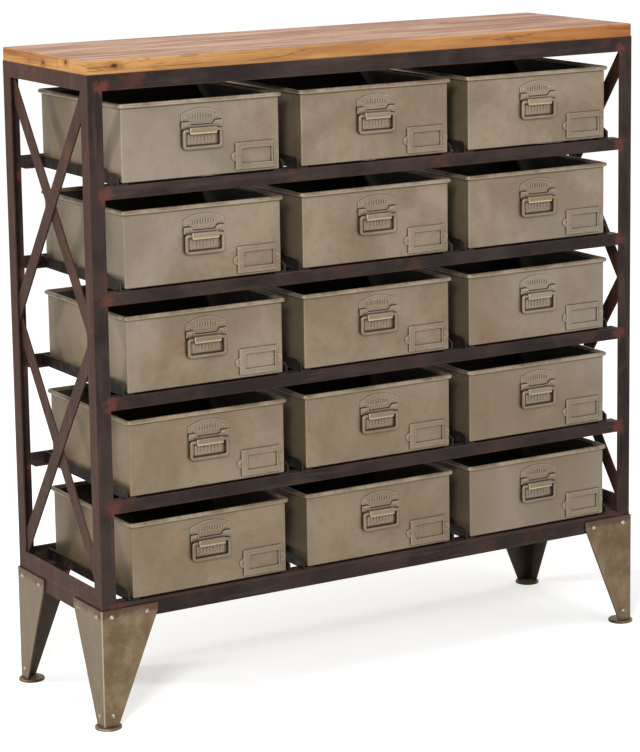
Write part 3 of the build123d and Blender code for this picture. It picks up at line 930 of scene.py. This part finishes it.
def model_lip():
    """The sleeve's lower lip, which stands a little proud and carries a painted highlight."""
    y = PIVOT_Y - SLEEVE_OUTER + LIP_RADIUS
    z = PIVOT_HEIGHT - SLEEVE_OUTER + LIP_RADIUS / 2
    half = SLEEVE_END - LIP_INSET
    lip = box((-half, y - LIP_RADIUS * LIP_DEPTH, z - LIP_RADIUS), (half, y, z + LIP_RADIUS))
    soften(lip, LIP_RADIUS * LIP_BEND, segments=3)
    return lip


def model_gap_shadow():
    """A dark strip that paints the shadow in the gap behind the clip."""
    return clip_sheet(PLATE_FACE, GAP_SHADOW_GAUGE, CLIP_FOOT - GAP_SHADOW_DROP, EAR_TOP + GAP_SHADOW_SHOWN)


def model_bail():
    """The ring of round rod that hangs from the clip."""
    across = PULL_HALF - ROD_ROOM
    low = PIVOT_HEIGHT - BAIL_FALL
    corners = (
        (across, PIVOT_Y, PIVOT_HEIGHT),
        (-across, PIVOT_Y, PIVOT_HEIGHT),
        (-across, PIVOT_Y, low),
        (across, PIVOT_Y, low),
    )
    bends = (BAIL_TOP_CORNER, BAIL_TOP_CORNER, BAIL_CORNER, BAIL_CORNER)
    return round_rod(corners, bends, ROD_RADIUS, "bail")


# ---------------------------------------------------------------- label frame


def label_bead(middle, half_width, half_height):
    """A pressed line round the label frame."""
    corners = [
        (middle + across * half_width, LABEL_FACE, LABEL_Z + up * half_height)
        for across, up in ((1, 1), (-1, 1), (-1, -1), (1, -1))
    ]
    return round_rod(corners, [BEAD_CORNER] * 4, BEAD_RADIUS, "bead", sides=8, corner_steps=4)


def label_plate(window_x):
    """The label frame's sheet, with its window and an ear at each side."""
    half_width, half_height = LABEL_WIDTH / 2, LABEL_HEIGHT / 2
    plate = box(
        (LABEL_X - half_width, LABEL_FACE, LABEL_Z - half_height),
        (LABEL_X + half_width, DRAWER_FRONT, LABEL_Z + half_height),
    )
    for side in (-1, 1):
        centre = (LABEL_X + side * half_width, DRAWER_FRONT, LABEL_Z)
        boolean(plate, disc(centre, LABEL_EAR, LABEL_GAUGE, LABEL_EAR_SIDES), "UNION")
    window = box(
        (window_x - WINDOW_WIDTH / 2, DRAWER_FRONT - CUT_ROOM, LABEL_Z - WINDOW_HEIGHT / 2),
        (window_x + WINDOW_WIDTH / 2, DRAWER_FRONT + CUT_PAST, LABEL_Z + WINDOW_HEIGHT / 2),
    )
    boolean(plate, window, "DIFFERENCE")
    soften(plate, LABEL_BEND, segments=3)
    flatten_faces(plate)
    return plate


def model_label():
    """A pressed frame with a sunk window, a strip at its left and a riveted ear at each side."""
    window_x = LABEL_X + WINDOW_SHIFT
    foot, top = LABEL_Z - LABEL_HEIGHT / 2, LABEL_Z + LABEL_HEIGHT / 2
    strip_x = LABEL_X - LABEL_WIDTH / 2 + STRIP_IN
    label = label_plate(window_x)
    strip = box(
        (strip_x - STRIP_HALF, LABEL_FACE - STRIP_PROUD, foot + STRIP_SHORT),
        (strip_x + STRIP_HALF, DRAWER_FRONT - SUNK, top - STRIP_SHORT),
    )
    soften(strip, STRIP_BEND, segments=3)
    beads = [
        label_bead(window_x, WINDOW_WIDTH / 2 + BEAD_OUT, WINDOW_HEIGHT / 2 + BEAD_OUT),
        label_bead(LABEL_X, LABEL_WIDTH / 2 - BEAD_IN, LABEL_HEIGHT / 2 - BEAD_IN),
    ]
    rivet_x = LABEL_WIDTH / 2 + RIVET_OUT
    rivets = [
        dome((LABEL_X + side * rivet_x, LABEL_FACE, LABEL_Z), RIVET_RADIUS, RIVET_RISE)
        for side in (-1, 1)
    ]
    dots = [
        dome((LABEL_X + across, LABEL_FACE, foot + LABEL_DOT_UP), LABEL_DOT_RADIUS, LABEL_DOT_RISE)
        for across in (-LABEL_DOT_X, LABEL_DOT_X)
    ]
    return join([label, strip, *beads, *rivets, *dots], "label")


# ---------------------------------------------------------------- the fifteen drawers


def place_copy(model, name, offset, body, node):
    """Put a copy with its own mesh on a drawer, in place of a CAD node."""
    piece = model.copy()
    piece.data = model.data.copy()
    piece.name = piece.data.name = name
    bpy.context.collection.objects.link(piece)
    piece.data.transform(Matrix.Translation(offset))
    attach(piece, body)
    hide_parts(node)


drawer_steel = make_drawer_steel()
tray_inside_shade = make_tray_inside_shade()

tray_model, rim_model = model_tray()
split_inside(tray_model, drawer_steel, tray_inside_shade)
paint(rim_model, make_rim_steel())
tray_model = join([tray_model, rim_model], "tray")

pull_model = join([model_plate(), model_clip(), *model_relief(), *model_studs()], "pull")
gap_shadow_model, lip_model = model_gap_shadow(), model_lip()
paint(pull_model, drawer_steel)
# the painted shadow strip behind the clip takes the dark inside steel
paint(gap_shadow_model, tray_inside_shade)
# the lip takes a painted highlight
paint(lip_model, make_lip_highlight())
pull_model = join([pull_model, gap_shadow_model, lip_model], "pull")

label_model, bail_model = model_label(), model_bail()
paint(label_model, drawer_steel)
paint(bail_model, drawer_steel)

for drawer, (low, high) in tray_boxes.items():
    seat = Vector(((low.x + high.x) / 2, (low.y + high.y) / 2, low.z))
    sliding, swinging = f"drawer_{drawer}", f"pull_{drawer}"
    place_copy(tray_model, f"drawer_tray_{drawer}", seat, sliding, f"tray_{drawer}")
    place_copy(pull_model, f"drawer_pull_{drawer}", seat, sliding, f"fittings_{drawer}")
    place_copy(label_model, f"drawer_label_{drawer}", seat, sliding, f"fittings_{drawer}")
    place_copy(bail_model, f"drawer_bail_{drawer}", seat, swinging, f"bail_{drawer}")
for model in (tray_model, pull_model, label_model, bail_model):
    bpy.data.objects.remove(model, do_unlink=True)

# ---------------------------------------------------------------- frame, legs and top keep their CAD shape

frame_steel = make_frame_steel(
    "waxed_angle_iron",
    dark=(42, 34, 33),
    light=(68, 56, 52),
    # side: a painted light on the faces that look sideways
    side=(66, 39, 28),
    # worn: rubbed wear with a painted highlight on the edges
    worn=(106, 70, 54),
    edge=3.2 * MM,
)
# painted shade: the runners take a darker copy of the frame steel
shaded_runner_steel = make_frame_steel(
    "shaded_runner_iron",
    dark=(24, 20, 19),
    light=(40, 34, 31),
    # side: a painted light on the faces that look sideways
    side=(34, 27, 24),
    # worn: rubbed wear with a painted highlight on the edges
    worn=(150, 140, 126),
    edge=1.0 * MM,
)
leg_steel = make_leg_steel()

SHARP, BAR_EDGE, LEG_BEND, RUNNER_EDGE = 0.0, 0.6, 0.5, 0.4
finishes = {
    "wood_top": (make_wood(), SHARP),
    "legs": (leg_steel, LEG_BEND),
    "foot_discs": (leg_steel, SHARP),
    "drawer_runners": (shaded_runner_steel, RUNNER_EDGE),
    "leg_rivets": (make_rivet_steel(), SHARP),
    "top_rails": (frame_steel, SHARP),
    "bottom_rails": (frame_steel, SHARP),
    "base_frame": (frame_steel, SHARP),
}


def round_cad_edges(thing, width):
    """Round a CAD piece's edges with modifiers that leave its mesh as it is."""
    weld = thing.modifiers.new("Weld", "WELD")
    weld.merge_threshold = MERGE
    bevel = thing.modifiers.new("Bevel", "BEVEL")
    bevel.width = width * MM
    bevel.segments = 2
    bevel.limit_method = "ANGLE"


for node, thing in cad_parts.items():
    if node.startswith(("tray_", "fittings_", "bail_")):
        continue
    material, edge = finishes.get(node, (frame_steel, BAR_EDGE))
    paint(thing, material)
    if edge > SHARP:
        round_cad_edges(thing, edge)

# ---------------------------------------------------------------- stage, light and camera


def seen_directly(tree):
    """1 for what the camera or a shiny surface sees, 0 for light that falls on the object."""
    path = tree.nodes.new("ShaderNodeLightPath")
    rays = path.outputs["Is Camera Ray"]
    for name in ("Is Glossy Ray", "Is Transmission Ray"):
        either = tree.nodes.new("ShaderNodeMath")
        either.operation = "MAXIMUM"
        tree.links.new(rays, either.inputs[0])
        tree.links.new(path.outputs[name], either.inputs[1])
        rays = either.outputs[0]
    return rays


def grey(value):
    return (value, value, value, 1)


def floor_glow(m, direct):
    """A glow that lifts the floor to white, more so away from the object."""
    fade = m.tree.nodes.new("ShaderNodeMapRange")
    m.link(m.vector_math("LENGTH", "Value", m.place), fade.inputs["Value"])
    reach = {"From Min": NEAR, "From Max": FAR, "To Min": LIFT_NEAR, "To Max": LIFT_FAR}
    for name, value in reach.items():
        fade.inputs[name].default_value = value
    glow = m.tree.nodes.new("ShaderNodeEmission")
    glow.inputs["Color"].default_value = PURE_WHITE
    m.link(m.math("MULTIPLY", direct, fade.outputs["Result"]), glow.inputs["Strength"])
    return glow


def make_stage():
    """A pale floor that is seen as white, with the object's shadow kept."""
    deselect()
    bpy.ops.mesh.primitive_plane_add(size=FLOOR_SIZE, location=(0, 0, 0))
    floor = bpy.context.object
    floor.name = "floor"
    m = Nodes("floor")
    direct = seen_directly(m.tree)
    tone = m.mix(direct, grey(FLOOR_BOUNCE), grey(FLOOR_SEEN))
    m.set(Base_Color=tone, Roughness=FLOOR_ROUGHNESS, Specular_IOR_Level=0.0)
    both = m.tree.nodes.new("ShaderNodeAddShader")
    m.link(m.shader.outputs[0], both.inputs[0])
    m.link(floor_glow(m, direct).outputs[0], both.inputs[1])
    m.link(both.outputs[0], m.tree.nodes["Material Output"].inputs["Surface"])
    floor.data.materials.append(m.material)
    floor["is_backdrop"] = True


def make_world():
    """A soft level sky, with a white backdrop for what is seen directly."""
    world = bpy.data.worlds.new("studio")
    bpy.context.scene.world = world
    world.use_nodes = True
    tree = world.node_tree
    sky = tree.nodes["Background"]
    backdrop = tree.nodes.new("ShaderNodeBackground")
    for node, tint, strength in (
        (sky, SKY_TINT, SKY_STRENGTH),
        (backdrop, PURE_WHITE, BACKDROP_STRENGTH),
    ):
        node.inputs["Color"].default_value = tint
        node.inputs["Strength"].default_value = strength
    mix = tree.nodes.new("ShaderNodeMixShader")
    tree.links.new(seen_directly(tree), mix.inputs[0])
    tree.links.new(sky.outputs[0], mix.inputs[1])
    tree.links.new(backdrop.outputs[0], mix.inputs[2])
    tree.links.new(mix.outputs[0], tree.nodes["World Output"].inputs["Surface"])


def make_lamps():
    """Four square lamps round the cabinet: name, place, size, power and tint."""
    for name, place, size, power, tint in (
        ("key", (-2.5, -2.9, 2.4), 0.8, 108, WHITE_LIGHT),
        ("side", (-2.8, 1.1, 1.7), 0.4, 30, WARM_LIGHT),
        ("fill", (2.8, -2.6, 1.6), 2.4, 14, WHITE_LIGHT),
        ("top", (0.0, -0.4, 3.4), 2.2, 36, WHITE_LIGHT),
    ):
        light = bpy.data.lights.new(name, "AREA")
        light.color = tint
        light.size = size
        light.energy = power
        lamp = bpy.data.objects.new(name, light)
        lamp.location = place
        aim = Vector(LAMP_AIM) - Vector(place)
        lamp.rotation_euler = aim.to_track_quat("-Z", "Y").to_euler()
        bpy.context.collection.objects.link(lamp)


def make_camera():
    """The photograph's camera, with less of its vertical shift."""
    yaw, pitch, roll = (math.radians(angle) for angle in (CAMERA_YAW, CAMERA_PITCH, CAMERA_ROLL))
    ahead = Vector((math.sin(yaw) * math.cos(pitch), math.cos(yaw) * math.cos(pitch), -math.sin(pitch)))
    level = Vector((math.cos(yaw), -math.sin(yaw), 0))
    upright = level.cross(ahead)
    right = math.cos(roll) * level + math.sin(roll) * upright
    up = -math.sin(roll) * level + math.cos(roll) * upright
    lens = bpy.data.cameras.new("camera")
    lens.sensor_width = SENSOR
    lens.lens = FOCAL_PIXELS * SENSOR / max(IMAGE_WIDTH, IMAGE_HEIGHT)
    lens.shift_y = CAMERA_SHIFT
    camera = bpy.data.objects.new("camera", lens)
    turn = Matrix((right, up, -ahead)).transposed().to_4x4()
    camera.matrix_world = Matrix.Translation(CAMERA_PLACE) @ turn
    bpy.context.collection.objects.link(camera)
    bpy.context.scene.camera = camera


make_stage()
make_world()
make_lamps()
make_camera()
bpy.context.scene.view_settings.view_transform = "Standard"

low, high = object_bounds()
